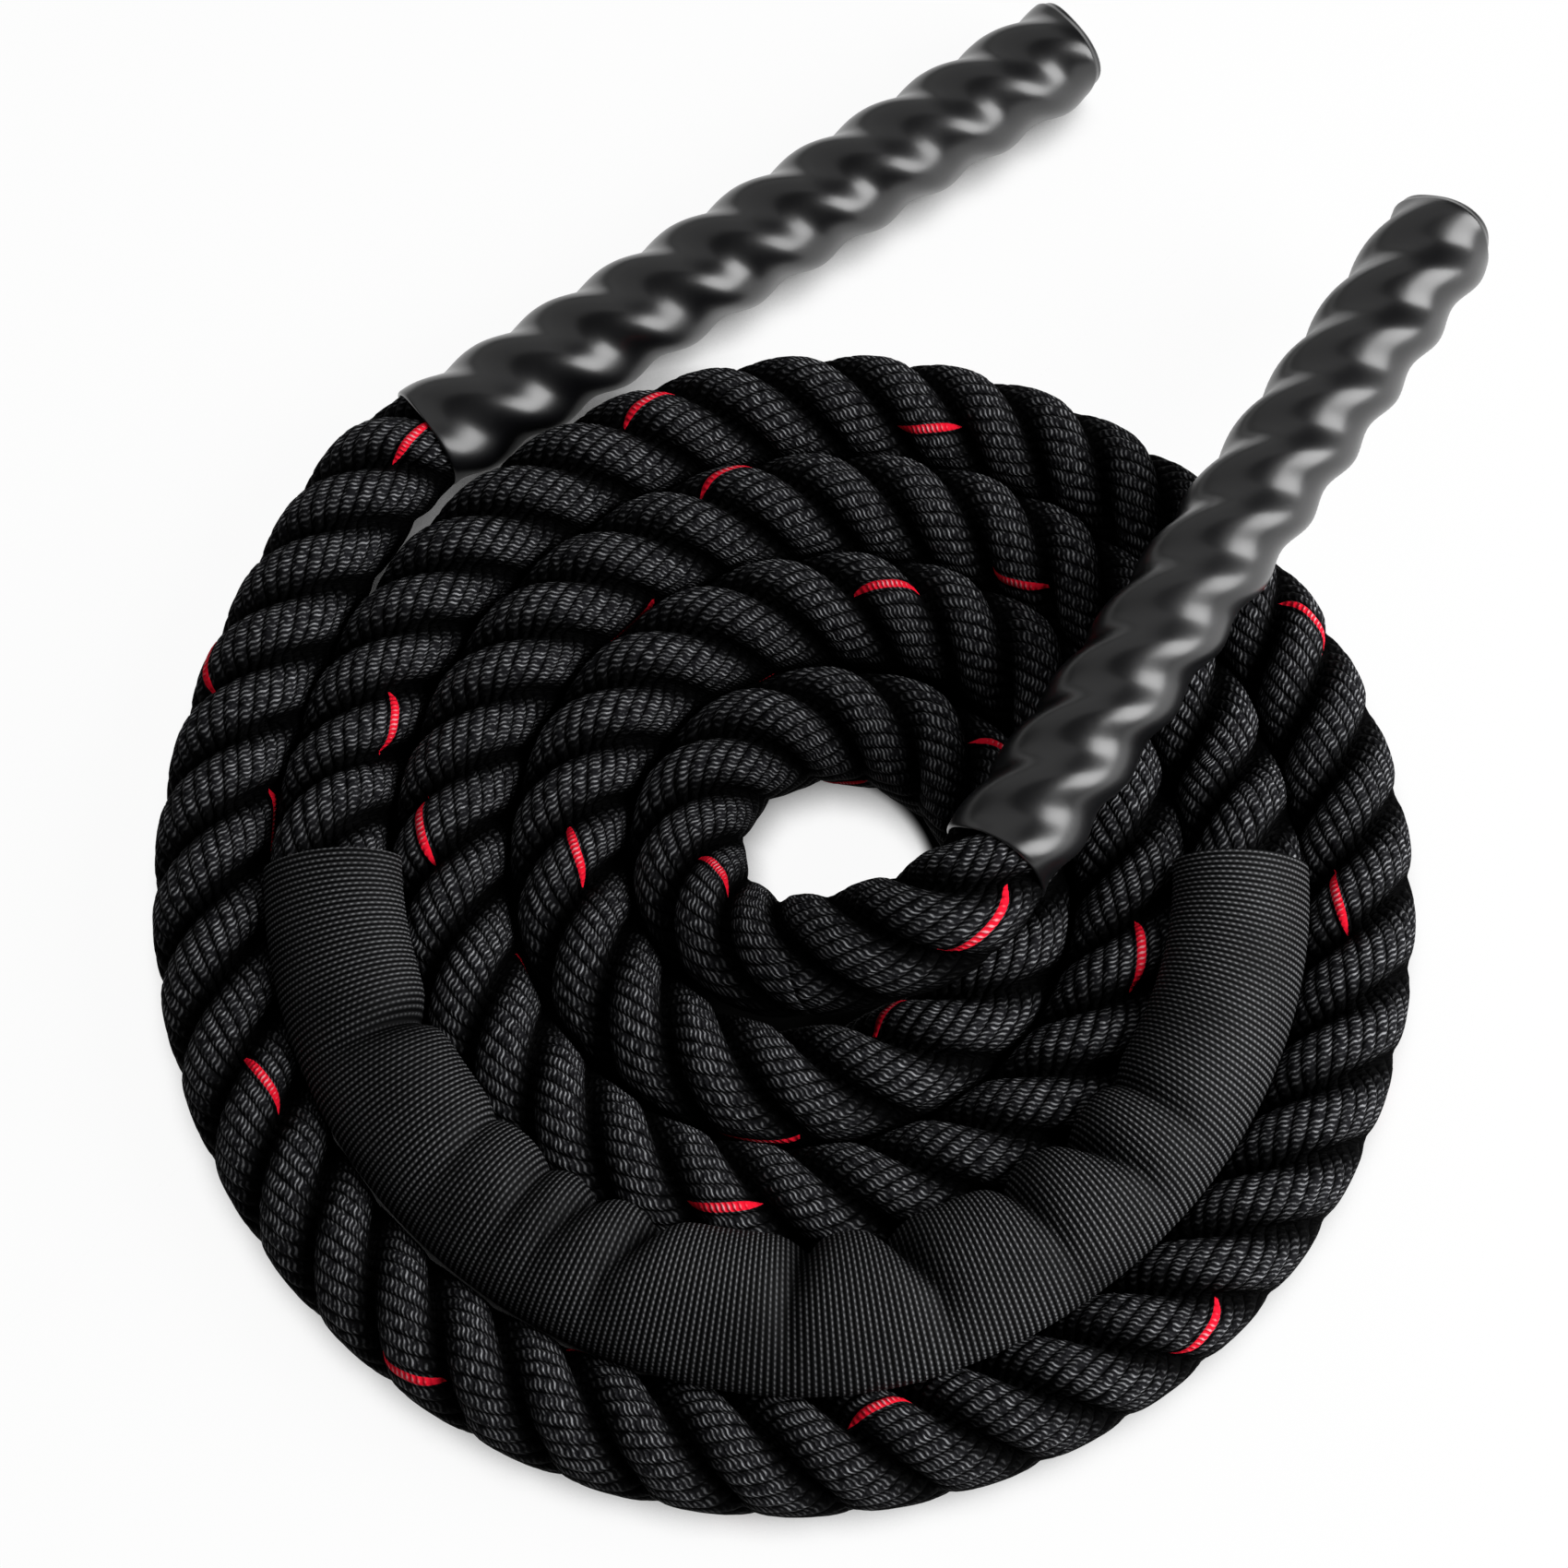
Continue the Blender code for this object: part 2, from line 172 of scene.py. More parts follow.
def coil_height(point):
    height = LYING_HEIGHT
    height += (ROPE_RADIUS - LYING_HEIGHT) * smooth((SETTLED_POINT - point) / SINKING_POINTS)
    inside = min(point - SLEEVE_POINTS[0], SLEEVE_POINTS[1] - point) + SLEEVE_RISE_POINTS
    height += (SLEEVE_RADIUS - LYING_HEIGHT) * smooth(inside / SLEEVE_RISE_POINTS)
    climbed = max(point - CLIMB_POINT, 0) / (LAST_POINT - CLIMB_POINT)
    return height + CLIMB_HEIGHT * climbed ** 2


def coil_point(point):
    turn = point / TURN_POINT_COUNT
    angle = FIRST_ANGLE + turn * FULL_TURN
    radius = coil_radius(turn)
    return COIL_CENTRE + Vector((radius * math.cos(angle), radius * math.sin(angle), coil_height(point)))


def stretch_points(letter, coil_end, inward, mouth, heading):
    """The free stretch's line from the coil's end, where inward is 1 or -1 point, to a grip's mouth."""
    start = coil_point(coil_end)
    start_way = (coil_point(coil_end - inward) - coil_point(coil_end + inward)).normalized()
    mouth_way = Vector((math.cos(heading), math.sin(heading), 0.0))
    bend_from = start + start_way * (STRETCH_RUN + FIT_GAP)
    bend_to = mouth - mouth_way * (STRETCH_RUN + FIT_GAP)
    handle = (bend_to - bend_from).length * STRETCH_HANDLE_SHARES[letter]
    bend = interpolate_bezier(
        bend_from, bend_from + start_way * handle, bend_to - mouth_way * handle, bend_to, STRETCH_STEPS)
    return [start, *bend, mouth]


class Route:
    """The rope's centreline from the first grip's mouth, round the coil, to the second grip's mouth."""

    def __init__(self):
        coil = [coil_point(FIRST_POINT + step / ROUTE_STEPS)
                for step in range((LAST_POINT - FIRST_POINT) * ROUTE_STEPS + 1)]
        stretch_a = stretch_points("a", FIRST_POINT, 1, GRIP_A_MOUTH, GRIP_A_HEADING)
        stretch_b = stretch_points("b", LAST_POINT, -1, GRIP_B_MOUTH, GRIP_B_HEADING)
        self.points = stretch_a[::-1] + coil[1:-1] + stretch_b
        self.distances = [0.0]
        for before, after in zip(self.points, self.points[1:]):
            self.distances.append(self.distances[-1] + (after - before).length)
        self.length = self.distances[-1]
        self.coil_start = self.distances[len(stretch_a) - 1]
        self.coil_end = self.distances[len(stretch_a) + len(coil) - 2]
        self.rooms = self.measured_rooms()

    def measured_rooms(self):
        """Half the way to what lies beside the rope, on its left and right, from grip end to grip end."""
        steps = round((self.length + 2.0 * GRIP_LENGTH) / ROOM_STEP)
        distances = [step * ROOM_STEP - GRIP_LENGTH for step in range(steps + 1)]
        tree = KDTree(len(distances))
        for index, distance in enumerate(distances):
            tree.insert(self.centre(distance), index)
        tree.balance()
        rooms = []
        for distance in distances:
            centre, _, _, right = self.stance(distance)
            sides = [ROOM_REACH / 2.0] * 2
            for place, other, way in tree.find_range(centre, ROOM_REACH):
                if abs(distances[other] - distance) > LAY_LENGTH:
                    side = 1 if (place - centre).dot(right) > 0.0 else 0
                    sides[side] = min(sides[side], way / 2.0)
            rooms.append(sides)
        return rooms

    def room(self, distance):
        """The room on the left and on the right at a distance."""
        place = (distance + GRIP_LENGTH) / ROOM_STEP
        before = min(max(int(place), 0), len(self.rooms) - 2)
        share = min(max(place - before, 0.0), 1.0)
        return [low + (high - low) * share for low, high in zip(self.rooms[before], self.rooms[before + 1])]

    def segment(self, distance):
        """The number of the point before a distance, and the share of the way to the next."""
        after = min(max(bisect.bisect_right(self.distances, distance), 1), len(self.points) - 1)
        start = self.distances[after - 1]
        return after - 1, (distance - start) / (self.distances[after] - start)

    def centre(self, distance):
        """The point at a distance, straight on past both ends."""
        before, share = self.segment(distance)
        return self.points[before].lerp(self.points[before + 1], share)

    def stance(self, distance):
        """Centre, forward, up and right at a distance."""
        forward = (self.centre(distance + STANCE_REACH) - self.centre(distance - STANCE_REACH)).normalized()
        upright = Vector((0.0, 0.0, 1.0))
        up = (upright - forward * forward.z).normalized()
        return self.centre(distance), forward, up, forward.cross(up)

    def coil_place(self, distance):
        """The coil's point number at a distance, running on past the coil's ends."""
        before, share = self.segment(distance)
        return FIRST_POINT + (before + share - STRETCH_STEPS - 1) / ROUTE_STEPS

    def distance_at(self, point):
        """The distance of one of the coil's points."""
        return self.distances[STRETCH_STEPS + 1 + (point - FIRST_POINT) * ROUTE_STEPS]

    def lay_angle(self, distance):
        """Where the first strand's crest stands, from up towards the right."""
        return FULL_TURN * distance / LAY_LENGTH + FIRST_STRAND_ANGLE


ROUTE = Route()


def pressed(reach, room):
    """A reach that gives way smoothly before it passes the room it has."""
    return reach / (1.0 + (abs(reach) / room) ** SQUASH_HARDNESS) ** (1.0 / SQUASH_HARDNESS)


def sleeve_push(point):
    """1 in the sleeve and on the turns that lie against it, 0 elsewhere."""
    start, end = SLEEVE_POINTS
    steps = (-TURN_POINT_COUNT, 0, TURN_POINT_COUNT)
    return max(min(smooth(point + step - start), smooth(end - point - step)) for step in steps)


class Station:
    """One place along the rope, with the room that it has there."""

    def __init__(self, distance, extra_room=0.0):
        self.distance = distance
        self.centre, _, self.up, self.right = ROUTE.stance(distance)
        self.room = [room + extra_room for room in ROUTE.room(distance)]
        self.nearness = [smooth((NEAR_ROOM[1] - room) / (NEAR_ROOM[1] - NEAR_ROOM[0])) for room in self.room]

    def covered(self, angle):
        """1 deep between two turns, 0 on top of the rope and where nothing lies beside it."""
        return side_share(angle) * self.nearness[1 if math.sin(angle) > 0.0 else 0]

    def place(self, angle, radius, give=0.0):
        """A point at an angle from up towards the right, pressed by the floor and by what lies beside it."""
        offset_up = radius * math.cos(angle)
        offset_right = radius * math.sin(angle)
        offset_right = pressed(offset_right, self.room[1 if offset_right > 0.0 else 0] + give)
        if offset_up < 0.0:
            offset_up = pressed(offset_up, self.centre.z)
        return self.centre + self.up * offset_up + self.right * offset_right


# Meshes

def swept(rows, columns, place):
    """A tube from a grid, a row for each station along it and a column for each step round it.

    place gives a point for a row and a column, and every corner keeps its row and column in two layers.
    """
    shape = bmesh.new()
    bmesh.ops.create_grid(shape, x_segments=rows - 1, y_segments=columns, size=1.0)
    row_layer = shape.verts.layers.int.new("row")
    column_layer = shape.verts.layers.int.new("column")
    for corner in shape.verts:
        row = round((corner.co.x + 1.0) / 2.0 * (rows - 1))
        column = round((corner.co.y + 1.0) / 2.0 * columns)
        corner[row_layer] = row
        corner[column_layer] = column
        corner.co = place(row, column)
    return shape, row_layer, column_layer


def face_cells(shape, row_layer, column_layer):
    """Each face's corners with their rows and columns, taken before the seams are merged."""
    for face in shape.faces:
        yield [(loop, loop.vert[row_layer], loop.vert[column_layer]) for loop in face.loops]


def merge_seam(shape):
    """Joins the grid's two edges, and its two ends where they meet."""
    edge_corners = [corner for corner in shape.verts if corner.is_boundary]
    bmesh.ops.remove_doubles(shape, verts=edge_corners, dist=SAME_PLACE)


def close_ends(shape):
    bmesh.ops.holes_fill(shape, edges=[edge for edge in shape.edges if edge.is_boundary], sides=0)


def finish_mesh(shape, name, material):
    """A smooth object from a shape, which is used up."""
    bmesh.ops.recalc_face_normals(shape, faces=shape.faces)
    for face in shape.faces:
        face.smooth = True
    mesh = bpy.data.meshes.new(name)
    shape.to_mesh(mesh)
    shape.free()
    mesh.materials.append(material)
    piece = bpy.data.objects.new(name, mesh)
    bpy.context.scene.collection.objects.link(piece)
    return piece


def strand_radius(turned, crest, groove_share):
    """The laid rope's outline: how far it reaches at an angle from a strand's crest."""
    return crest * (1.0 - groove_share * abs(turned / (STRAND_TURN / 2.0)) ** GROOVE_POWER)


def side_share(angle):
    """0 on the upper side of the rope, 1 on its flanks and below."""
    return smooth((math.cos(SHOULDER_ANGLE) - math.cos(angle)) / math.cos(SHOULDER_ANGLE))


def laid_rope(name, start, end, crest_at, settings, material):
    """A stretch of laid rope whose columns follow the yarns, which cross the strands.

    Its UV map counts the yarns along each strand, and three attributes hold the strand, how far over its
    flank a point lies and how deep it lies between two turns.
    """
    rows = max(2, round((end - start) / settings.ring_spacing) + 1)
    columns = settings.yarns_round * YARN_COLUMNS
    lean = math.tan(settings.yarn_lean) / ROPE_RADIUS
    stations = []
    for row in range(rows):
        distance = start + (end - start) * row / (rows - 1)
        push = -settings.sleeve_press * sleeve_push(ROUTE.coil_place(distance))
        stations.append(Station(distance, push))

    def around_at(row, column):
        """The angle from up towards the right."""
        return FULL_TURN * column / columns - lean * stations[row].distance

    def turned_at(row, column):
        """The angle from the first strand's crest."""
        return around_at(row, column) - ROUTE.lay_angle(stations[row].distance)

    def place(row, column):
        station = stations[row]
        around = around_at(row, column)
        turned = turned_at(row, column)
        off_crest = turned - STRAND_TURN * round(turned / STRAND_TURN)
        filled = station.covered(around) * settings.groove_fill
        radius = strand_radius(off_crest, crest_at(station.distance), settings.groove_share * (1.0 - filled))
        if column % YARN_COLUMNS == 0:
            radius -= settings.yarn_groove
        return station.place(around, radius)

    shape, row_layer, column_layer = swept(rows, columns, place)
    yarn_map = shape.loops.layers.uv.new("yarn")
    strand_layer = shape.loops.layers.float.new("strand")
    flank_layer = shape.loops.layers.float.new("flank")
    shadow_layer = shape.loops.layers.float.new("shadow")
    for corners in face_cells(shape, row_layer, column_layer):
        turns = [turned_at(row, column) for _, row, column in corners]
        strand = round(sum(turns) / len(turns) / STRAND_TURN)
        for (loop, row, column), turned in zip(corners, turns):
            across = settings.yarns_round * (column / columns - strand // STRANDS)
            loop[yarn_map].uv = (across, stations[row].distance / MM)
            loop[strand_layer] = strand % STRANDS
            loop[flank_layer] = (turned / STRAND_TURN - strand) * 2.0
            loop[shadow_layer] = stations[row].covered(around_at(row, column))
    merge_seam(shape)
    close_ends(shape)
    return finish_mesh(shape, name, material)


# Materials

def opaque(colour):
    """A colour with its alpha; one that comes from a node stays as it is."""
    return colour if isinstance(colour, Signal) else (*colour, 1.0)


class Signal:
    """What a socket of a node tree gives; arithmetic on it adds Math nodes."""

    def __init__(self, tree, socket):
        self.tree = tree
        self.socket = socket

    def math(self, operation, *others):
        return self.tree.node("ShaderNodeMath", {"operation": operation}, (self, *others))

    def __add__(self, other):
        return self.math("ADD", other)

    def __mul__(self, other):
        return self.math("MULTIPLY", other)

    def __sub__(self, other):
        return self.math("SUBTRACT", other)

    def __rsub__(self, other):
        return self * -1.0 + other

    def __truediv__(self, other):
        return self.math("DIVIDE", other)

    def __pow__(self, other):
        return self.math("POWER", other)

    def __abs__(self):
        return self.math("ABSOLUTE")

    __radd__ = __add__
    __rmul__ = __mul__

    def fraction(self):
        return self.math("FRACT")

    def whole(self):
        return self.math("FLOOR")

    def sine(self):
        return self.math("SINE")

    def wave(self):
        """Swings from 0 to 1 and back over each whole number."""
        return (self * FULL_TURN).sine() * 0.5 + 0.5

    def below(self, edge):
        return self.math("LESS_THAN", edge)

    def between(self, low, high):
        """0 below low, 1 above high, smooth between."""
        return self.tree.node("ShaderNodeMapRange", {"interpolation_type": "SMOOTHSTEP"},
                              {"Value": self, "From Min": low, "From Max": high})


class Tree:
    """A node tree, and the one way in which nodes are added to it."""

    def __init__(self, tree):
        self.tree = tree

    def node(self, kind, settings, inputs, output=0):
        """Adds a node: its settings come first, then the values or links of its sockets."""
        made = self.tree.nodes.new(kind)
        for name, value in settings.items():
            setattr(made, name, value)
        named = inputs.items() if isinstance(inputs, dict) else enumerate(inputs)
        for key, value in named:
            if isinstance(value, Signal):
                self.tree.links.new(value.socket, made.inputs[key])
            else:
                made.inputs[key].default_value = value
        return Signal(self, made.outputs[output])


class Finish(Tree):
    """A material's node tree, with its Principled shader ready."""

    def __init__(self, name, **constants):
        self.material = bpy.data.materials.new(name)
        self.material.use_nodes = True
        super().__init__(self.material.node_tree)
        self.shader = self.tree.nodes["Principled BSDF"]
        for socket, value in constants.items():
            self.shader.inputs[socket.replace("_", " ")].default_value = value

    def mix(self, share, low, high):
        """One colour where share is 0 and the other where it is 1."""
        return self.node("ShaderNodeMix", {"data_type": "RGBA"},
                         {0: share, 6: opaque(low), 7: opaque(high)}, output=2)

    def noise(self, scale, detail, vector=None):
        inputs = {"Scale": scale, "Detail": detail}
        if vector is not None:
            inputs["Vector"] = vector
        return self.node("ShaderNodeTexNoise", {}, inputs)

    def place(self):
        return self.node("ShaderNodeTexCoord", {}, {}, output="Object")

    def uv(self, name):
        return self.parts(self.node("ShaderNodeUVMap", {"uv_map": name}, {}))

    def parts(self, vector):
        """A vector's first two numbers."""
        return [self.node("ShaderNodeSeparateXYZ", {}, (vector,), output=axis) for axis in "XY"]

    def attribute(self, name):
        return self.node("ShaderNodeAttribute", {"attribute_name": name}, {}, output="Fac")

    def vector(self, x, y, z):
        return self.node("ShaderNodeCombineXYZ", {}, (x, y, z))

    def drive(self, socket, signal):
        self.tree.links.new(signal.socket, self.shader.inputs[socket])

    def bump(self, height, distance):
        self.drive("Normal", self.node("ShaderNodeBump", {}, {"Height": height, "Distance": distance}))


# The yarns. Of a pair, a thing begins at the first number and is complete at the second
CROWN_POWER = 3.0                # how square a yarn's back is
BEND_RATE = 3.0                  # how sharply a ply is bent over a yarn's back
PLY_SHIFT = 3.0                  # between neighbouring yarns, in ply lengths
PLY_SHIFT_SCALE = (3.7, 0.05, 11.0)  # from yarn to yarn, along a yarn, and from strand to strand
PATCH_SCALE = (1.7, 0.55, 5.0)   # the same, for the patches of painted sheen
PATCH_SHEEN = (0.36, 0.68)
PLY_SHEEN = (0.35, 1.0)
FLANK_SHADE = (0.2, 0.86)         # painted shade, from a strand's crest towards its groove
ROPE_SHADE = 0.97                # how much painted shade darkens the rope deep between two turns
TRACER_TAPER = 5.0               # how late the red yarn narrows towards the groove
TRACER_SHINE = (0.25, 0.8)
YARN_ROUGHNESS = 0.8
DASH_SMOOTHNESS = 0.2
PLY_RELIEF = 0.3                 # as a share of a yarn's own roundness, as is the next
DASH_RELIEF = 0.15


def yarn_finish(settings):
    """Black yarns with painted ply highlights and painted groove shade, and a red tracer in one strand."""
    finish = Finish("laid_yarn", Specular_IOR_Level=0.04)
    across, along = finish.uv("yarn")
    strand = finish.attribute("strand")
    flank = abs(finish.attribute("flank"))
    in_yarn = across.fraction() * 2.0 - 1.0
    index = across.whole()
    crown = 1.0 - abs(in_yarn) ** CROWN_POWER

    def scaled(yarn, scale):
        yarn_scale, along_scale, strand_scale = scale
        return finish.vector(yarn * yarn_scale, along * along_scale, strand * strand_scale)

    shift = finish.noise(1.0, 1.0, scaled(index, PLY_SHIFT_SCALE)) * PLY_SHIFT
    bend = (in_yarn * BEND_RATE).sine() * settings.ply_bend
    ply = (along / settings.ply_length - across * settings.ply_slant + bend + shift).wave()
    patch = finish.noise(1.0, 2.0, scaled(across, PATCH_SCALE))
    # Painted highlights: the plies' bright dashes, brighter in patches, stand in for their sheen
    ply_sheen = ply.between(*PLY_SHEEN) * crown * patch.between(*PATCH_SHEEN)
    # Painted shade: darker towards each strand's groove and deep between two turns
    unshaded_share = (1.0 - flank.between(*FLANK_SHADE)) * (1.0 - finish.attribute("shadow") * ROPE_SHADE)

    def red_yarns(yarn):
        """How many red yarns come up to a yarn of the first strand."""
        late = yarn.between(settings.drift_from, settings.drift_to) * settings.tracer_drift
        return ((yarn + settings.tracer_yarn - late) / settings.tracer_cycle).whole()

    in_first_strand = strand.below(0.5)
    taper = (1.0 - flank ** TRACER_TAPER) * settings.tracer_width
    tracer = (red_yarns(index) - red_yarns(index - 1.0)) * in_first_strand * abs(in_yarn).below(taper)

    # Painted shade towards each yarn's edges and in the grooves, then the plies' painted highlights
    dark = finish.mix(crown * unshaded_share, settings.gap_shade_colour, settings.yarn_colour)
    dark = finish.mix(ply_sheen * unshaded_share, dark, settings.ply_sheen_colour)
    shine = ((1.0 - abs(in_yarn)) * (1.0 - flank) * ply).between(*TRACER_SHINE)
    red = finish.mix(shine, settings.tracer_colour, settings.tracer_highlight)
    finish.drive("Base Color", finish.mix(tracer, dark, red))
    finish.drive("Roughness", YARN_ROUGHNESS - ply_sheen * DASH_SMOOTHNESS)
    finish.bump(crown + ply * crown * PLY_RELIEF + ply_sheen * DASH_RELIEF, settings.yarn_relief)
    return finish.material


# The sleeve
RIB_POWER = 2.5                  # how narrow the bright line of a rib is
THREAD_SHARE = 0.75              # how much of a rib's brightness comes and goes with its threads
CREASE_SHADE = 0.9               # how much painted shade darkens the cloth at the bottom of a fold
SLEEVE_SHADE = 0.9               # and deep between two turns
WEAR_SCALE = 35.0
WEAR_RANGE = (0.35, 0.75)
WEAR_SHADE = 0.5
CLOTH_ROUGHNESS = 0.66
RIB_SMOOTHNESS = 0.2


def sleeve_finish(settings):
    """Ribs round the sleeve, each a row of dots where the threads come up."""
    finish = Finish("ribbed_weave", Specular_IOR_Level=0.06)
    around, along = finish.uv("weave")
    ribs = along / settings.rib_pitch
    half_step = ribs.whole() * 0.5
    thread = (around / settings.thread_pitch + half_step).wave()
    weave = ribs.wave() ** RIB_POWER * (thread * THREAD_SHARE + (1.0 - THREAD_SHARE))
    wear = finish.noise(WEAR_SCALE, 3.0, finish.place())
    crease = finish.attribute("crease") * CREASE_SHADE
    shadow = finish.attribute("shadow") * SLEEVE_SHADE
    # Painted light: the ribs' and threads' tops painted lit, with painted shade between them, at the bottom of
    # folds and deep between two turns
    lit = weave * (1.0 - crease) * (1.0 - shadow)
    cloth = finish.mix(lit, settings.shade_and_wear_colour, settings.cloth_colour)
    cloth = finish.mix(wear.between(*WEAR_RANGE) * WEAR_SHADE, cloth, settings.shade_and_wear_colour)
    finish.drive("Base Color", cloth)
    finish.drive("Roughness", CLOTH_ROUGHNESS - weave * RIB_SMOOTHNESS)
    finish.bump(weave, settings.weave_relief)
    return finish.material


# The grips and their tape
CLOUD_SCALE = 45.0
CLOUD_RANGE = (0.35, 0.75)
CLOUD_ROUGHNESS = 0.1            # how much rougher the tube is in its clouds
CLOUD_RELIEF = 2.0               # against that of the fine ripples
RIPPLE_SCALE = 160.0
TAPE_ROUGHNESS = 0.4
TAPE_CLIMB = 60.0                # millimetres round for the tape to climb by one wrap
GRAIN_SCALE = 300.0
GRAIN_ROUGHNESS = 0.2
GRAIN_RELIEF = 0.3               # against that of a wrap


def grip_finish(settings):
    """Shrunk tube: glossy and soft in its highlights, with faint drag marks."""
    finish = Finish("shrunk_tube", Specular_IOR_Level=0.6, Coat_Weight=0.5, Coat_Roughness=0.28)
    place = finish.place()
    cloud = finish.noise(CLOUD_SCALE, 3.0, place)
    ripple = finish.noise(RIPPLE_SCALE, 2.0, place)
    finish.drive("Base Color", finish.mix(cloud, settings.colour, settings.worn_colour))
    finish.drive("Roughness", cloud.between(*CLOUD_RANGE) * CLOUD_ROUGHNESS + settings.roughness)
    finish.bump(ripple + cloud * CLOUD_RELIEF, settings.ripple_relief)
    return finish.material


def tape_finish(settings):
    """Black tape wound round the strands' ends."""
    finish = Finish("binding_tape")
    around, along = finish.uv("weave")
    wrap = (along / settings.tape_wrap + around / TAPE_CLIMB).fraction()
    grain = finish.noise(GRAIN_SCALE, 2.0, finish.place())
    finish.drive("Base Color", finish.mix(grain, settings.tape_colour, settings.worn_colour))
    finish.drive("Roughness", TAPE_ROUGHNESS + grain * GRAIN_ROUGHNESS)
    finish.bump(wrap + grain * GRAIN_RELIEF, settings.ripple_relief)
    return finish.material


# Settings

def number(name, description, default, **more):
    return bpy.props.FloatProperty(name=name, description=description, default=default, min=0.0, **more)


def length(name, description, default):
    return number(name, description, default, unit="LENGTH", precision=5)


def share(name, description, default):
    return number(name, description, default, max=1.0)


def power(name, description, default):
    return number(name, description, default, unit="POWER")


def angle(name, description, default):
    return bpy.props.FloatProperty(name=name, description=description, default=math.radians(default),
                                   subtype="ANGLE")


def count(name, description, default, least):
    return bpy.props.IntProperty(name=name, description=description, default=default, min=least)


def colour(name, description, default):
    return bpy.props.FloatVectorProperty(name=name, description=description, default=default,
                                         subtype="COLOR", min=0.0, max=1.0)


class ROPE_PG_rope(bpy.types.PropertyGroup):
    ring_spacing: length("Ring Spacing", "Distance between two rows of points along the rope", 1.8 * MM)
    groove_share: share("Groove", "Depth of the groove between strands, as a share of the radius", 0.46)
    groove_fill: share("Groove Fill", "Share of the groove that is pressed full beside another turn", 0.75)
    sleeve_press: length("Sleeve Press", "How far the sleeve pushes the turns beside it", 0.5 * MM)
    yarns_round: count("Yarns Round", "Yarns that lie side by side round the rope", 24, 6)
    yarn_lean: angle("Yarn Lean", "Angle between the yarns and the rope's own line", 15.0)
    yarn_groove: length("Yarn Groove", "Depth of the line between two yarns", 0.5 * MM)
    yarn_relief: length("Yarn Relief", "Height of a yarn's own roundness and of its plies", 0.7 * MM)
    ply_length: number("Ply Length", "Millimetres along a yarn from one ply to the next", 1.2)
    ply_slant: number("Ply Slant", "Ply lengths that a ply moves on as it crosses a yarn", 3.0)
    ply_bend: number("Ply Bend", "How far a ply is bent like an S, in ply lengths", 0.3)
    tracer_cycle: number("Tracer Cycle", "Yarns from one turn of the red yarn to the next", 16.84)
    tracer_yarn: number("Tracer Yarn", "Where in its first cycle the red yarn stands, in yarns", 1.49)
    tracer_drift: number("Tracer Drift", "Yarns that the red yarn has fallen behind by the inner end", 39.0)
    drift_from: number("Drift From", "Yarn at which the red yarn begins to fall behind", 500.0)
    drift_to: number("Drift To", "Yarn at which the red yarn has stopped falling behind", 1100.0)
    tracer_width: share("Tracer Width", "Width of the red yarn in its middle, as a share of a yarn", 0.62)
    yarn_colour: colour("Yarn", "Colour of the yarns", (0.013, 0.013, 0.015))
    # Painted highlights of the plies
    ply_sheen_colour: colour("Plies", "Colour of the plies' bright dashes", (0.36, 0.365, 0.38))
    # Painted shade deep between the yarns, in the strands' grooves and between two turns
    gap_shade_colour: colour("Gaps", "Colour deep between the yarns", (0.0005, 0.0005, 0.0006))
    tracer_colour: colour("Tracer", "Colour of the tracer yarn", (1.0, 0.01, 0.035))
    tracer_highlight: colour("Tracer Highlight", "Colour of the tracer yarn's crest", (1.0, 0.36, 0.4))


class ROPE_PG_sleeve(bpy.types.PropertyGroup):
    wall: length("Wall", "Thickness of the cloth", 0.7 * MM)
    columns: count("Columns", "Columns of points round the sleeve", 72, 16)
    ring_spacing: length("Ring Spacing", "Distance between two rows of points along the sleeve", 1.0 * MM)
    press: length("Press", "How much further the sleeve reaches to its sides than the rope", 0.4 * MM)
    shoulder: length("Shoulder Room", "Extra room above the shoulders of the turns beside it", 7.0 * MM)
    bulge: length("Bulge", "How far the sleeve bulges over the outer turn", 5.0 * MM)
    bulge_angle: angle("Bulge Angle", "Where round the coil the sleeve bulges most", 274.0)
    bulge_spread: angle("Bulge Spread", "How far the bulge spreads round the coil", 21.0)
    looseness: length("Looseness", "How far the cloth stands off between its folds", 7.0 * MM)
    fold_width: length("Fold Width", "Width of a fold along the sleeve", 4.0 * MM)
    tightness: length("Tightness", "How far the cloth is drawn in at the bottom of a fold", 0.8 * MM)
    rib_pitch: number("Rib Pitch", "Millimetres from rib to rib", 1.38)
    thread_pitch: number("Thread Pitch", "Millimetres from thread to thread along a rib", 1.2)
    weave_relief: length("Weave Relief", "Height of the ribs", 0.4 * MM)
    cloth_colour: colour("Cloth", "Colour of the ribs", (0.24, 0.243, 0.252))
    # Painted shade between the ribs, and also the colour of the worn patches
    shade_and_wear_colour: colour("Shade", "Colour between the ribs", (0.0008, 0.0008, 0.001))


class ROPE_PG_grips(bpy.types.PropertyGroup):
    columns: count("Columns", "Columns of points round a grip", 60, 12)
    ring_spacing: length("Ring Spacing", "Distance between two rows of points along a grip", 1.4 * MM)
    roughness: share("Roughness", "Roughness of the shrunk tube", 0.33)
    ripple_relief: length("Ripple Relief", "Height of the fine unevenness", 0.08 * MM)
    tape_wrap: number("Tape Wrap", "Millimetres along the rope for one wrap of tape", 7.0)
    colour: colour("Tube", "Colour of the shrunk tube", (0.001, 0.001, 0.0014))
    worn_colour: colour("Worn Tube", "Colour where the tube is dusty", (0.003, 0.003, 0.004))
    tape_colour: colour("Tape", "Colour of the binding tape", (0.01, 0.01, 0.011))


